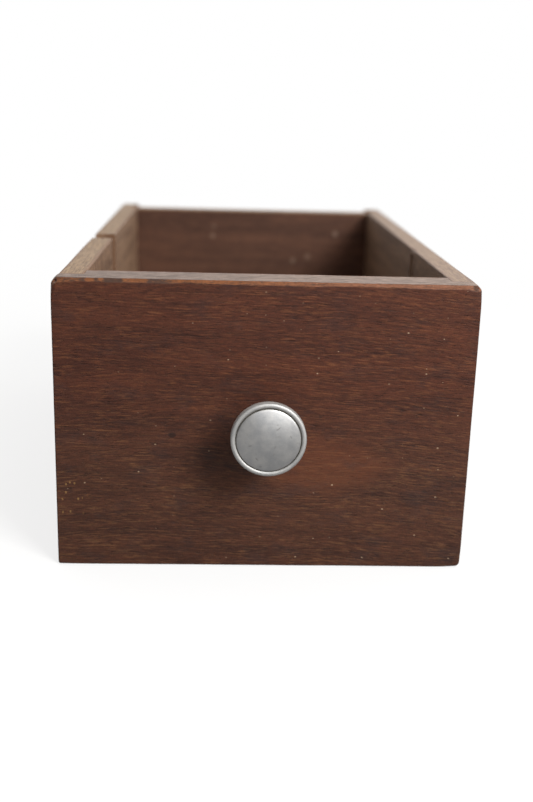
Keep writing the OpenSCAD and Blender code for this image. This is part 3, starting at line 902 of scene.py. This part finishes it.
def plain_metal(name, a, b, rough, rust=0.2):
    n = Nodes(name)
    x, y, z = n.xyz(n.mm())
    cloud = n.noise(n.vec(n.mul(x, 1 / 2.0), n.mul(y, 1 / 2.0), n.mul(z, 1 / 2.0)), 1.0, 4.0, 0.65)
    fine = n.noise(n.vec(n.mul(x, 1 / 0.3), n.mul(y, 1 / 0.3), n.mul(z, 1 / 0.3)), 1.0, 2.0)
    col = n.mix(n.between(cloud, 0.3, 0.7), a, b)
    spots = n.mul(n.between(n.add(cloud, n.mul(fine, 0.4)), 0.72, 0.86), rust)
    col = n.mix(spots, col, srgb(104, 62, 36))
    return n.finish(col, n.add(n.mad(cloud, 0.16, rough), n.mul(spots, 0.3)), n.mad(spots, -0.8, 1.0), n.bump(n.add(cloud, fine), 0.00004, 0.6))


KNOB_METAL = knob_material()
ZINC = plain_metal("zinc_steel", srgb(160, 158, 152), srgb(186, 184, 178), 0.36, 0.5)
WIRE = plain_metal("iron_wire", srgb(78, 70, 64), srgb(112, 104, 98), 0.5, 0.9)

place(front, "front_board", FRONT_WOOD)
place(left_side, "left_side", SIDE_WOOD)
place(right_side, "right_side", SIDE_WOOD)
place(back, "back_board", BACK_WOOD)
place(panel, "bottom_panel", PANEL_WOOD)
place(knob, "knob", KNOB_METAL)
place(screw, "knob_screw", ZINC)
place(washer, "knob_screw_washer", ZINC)
for node in ("front_corner_brads", "back_corner_brads", "bottom_nails"):
    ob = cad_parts[node]
    ob.data.materials.clear()
    ob.data.materials.append(WIRE)

# ------------------------------------------------------------------ stage, light and camera

n = Nodes("floor")
x, y, z = n.xyz(n.mm())
far = n.between(n.math("SQRT", n.add(n.mul(x, x), n.mul(y, y))), 150.0, 700.0, 0.75, 1.0)
dif = n.node("ShaderNodeBsdfDiffuse")
dif.inputs["Color"].default_value = (0.86, 0.86, 0.86, 1)
glow = n.node("ShaderNodeEmission")
glow.inputs["Color"].default_value = (1, 1, 1, 1)
glow.inputs["Strength"].default_value = 1.0
mixer = n.node("ShaderNodeMixShader")
seen = n.node("ShaderNodeLightPath").outputs["Is Camera Ray"]
n.put(mixer.inputs[0], n.mul(far, seen))
mirrored = n.node("ShaderNodeLightPath").outputs["Is Glossy Ray"]
n.put(dif.inputs["Color"], n.mix(mirrored, n.mix(seen, (0.52, 0.51, 0.50), (0.86, 0.86, 0.86)), (0.30, 0.30, 0.30)))
n.t.links.new(dif.outputs[0], mixer.inputs[1])
n.t.links.new(glow.outputs[0], mixer.inputs[2])
out = n.node("ShaderNodeOutputMaterial")
n.t.links.new(mixer.outputs[0], out.inputs["Surface"])
floor = mesh_object("floor", [(-4000, -4000, 0), (4000, -4000, 0), (4000, 4000, 0), (-4000, 4000, 0)], [(0, 1, 2, 3)])
floor.location.z = -0.0002
floor.data.materials.append(n.mat)

world = bpy.data.worlds.new("studio")
bpy.context.scene.world = world
world.use_nodes = True
wt = world.node_tree
wt.nodes.clear()
wn = Nodes.__new__(Nodes)
wn.t, wn.coords, wn.mat = wt, None, None
direction = wn.node("ShaderNodeTexCoord").outputs["Generated"]
dx, dy, dz = wn.xyz(direction)
level = wn.add(wn.between(dy, -0.6, 0.75, 0.12, 1.4), wn.between(dz, 0.1, 0.9, 0.0, 0.12))
# a wide soft glow round the key light
dot = wn.add(wn.mul(dx, 0.49), wn.add(wn.mul(dy, -0.67), wn.mul(dz, 0.56)))
level = wn.add(level, wn.between(dot, 0.30, 0.98, 0.0, 0.7))
dot2 = wn.add(wn.mul(dx, 0.30), wn.add(wn.mul(dy, -0.80), wn.mul(dz, 0.52)))
level = wn.add(level, wn.mul(wn.between(dot2, 0.66, 1.0, 0.0, 1.7), wn.node("ShaderNodeLightPath").outputs["Is Glossy Ray"]))
sky = wn.node("ShaderNodeBackground")
wn.put(sky.inputs[0], wn.scale_colour(wn.vec(1.0, 0.99, 0.975), level))
sky.inputs[1].default_value = 0.85
white = wn.node("ShaderNodeBackground")
white.inputs[0].default_value = (1, 1, 1, 1)
wmix = wn.node("ShaderNodeMixShader")
wn.put(wmix.inputs[0], wn.node("ShaderNodeLightPath").outputs["Is Camera Ray"])
wt.links.new(sky.outputs[0], wmix.inputs[1])
wt.links.new(white.outputs[0], wmix.inputs[2])
wout = wn.node("ShaderNodeOutputWorld")
wt.links.new(wmix.outputs[0], wout.inputs["Surface"])


def area(name, towards, distance, size, energy, colour=(1, 1, 1)):
    """A soft square light that looks back at the drawer's front."""
    light = bpy.data.lights.new(name, "AREA")
    light.energy, light.size, light.color = energy, size, colour
    ob = bpy.data.objects.new(name, light)
    bpy.context.scene.collection.objects.link(ob)
    d = Vector(towards).normalized()
    ob.location = Vector((0, front_y * MM + 0.05, 0.06)) + d * distance
    ob.rotation_euler = d.to_track_quat("Z", "Y").to_euler()
    return ob


area("key", (0.49, -0.67, 0.54), 1.2, 0.42, 17.0, (1.0, 0.985, 0.96))

cam = bpy.data.objects.new("camera", bpy.data.cameras.new("camera"))
bpy.context.scene.collection.objects.link(cam)
cam.matrix_world = Matrix(((0.9989002, -0.0156366, -0.0442019, -0.0161894),
                           (-0.0380510, 0.2804562, -0.9591123, -0.3612157 + front_y * MM),
                           (0.0273940, 0.9597395, 0.2795527, 0.1702289),
                           (0, 0, 0, 1)))
cam.data.sensor_fit = "VERTICAL"
cam.data.sensor_height = 36
cam.data.sensor_width = 36
cam.data.lens = 1043.05 / 802 * 36
cam.data.clip_start = 0.01
cam.data.dof.use_dof = True
cam.data.dof.focus_distance = 0.376
cam.data.dof.aperture_fstop = 7.0


def lens_setting(path, close, away):
    """One value at the camera's own place, near the drawer, and another from further off, where all of it is to be sharp."""
    curve = cam.data.driver_add(path)
    curve.driver.type = "SUM"
    gap = curve.driver.variables.new()
    gap.type = "LOC_DIFF"
    gap.targets[0].id, gap.targets[1].id = cam, floor
    for m in list(curve.modifiers):
        curve.modifiers.remove(m)
    curve.keyframe_points.insert(0.53, close)
    curve.keyframe_points.insert(0.60, away)


lens_setting("dof.focus_distance", 0.376, 0.68)
lens_setting("dof.aperture_fstop", 7.0, 64.0)
bpy.context.scene.camera = cam
bpy.context.scene.view_settings.view_transform = "Standard"
bpy.context.scene.cycles.use_denoising = True
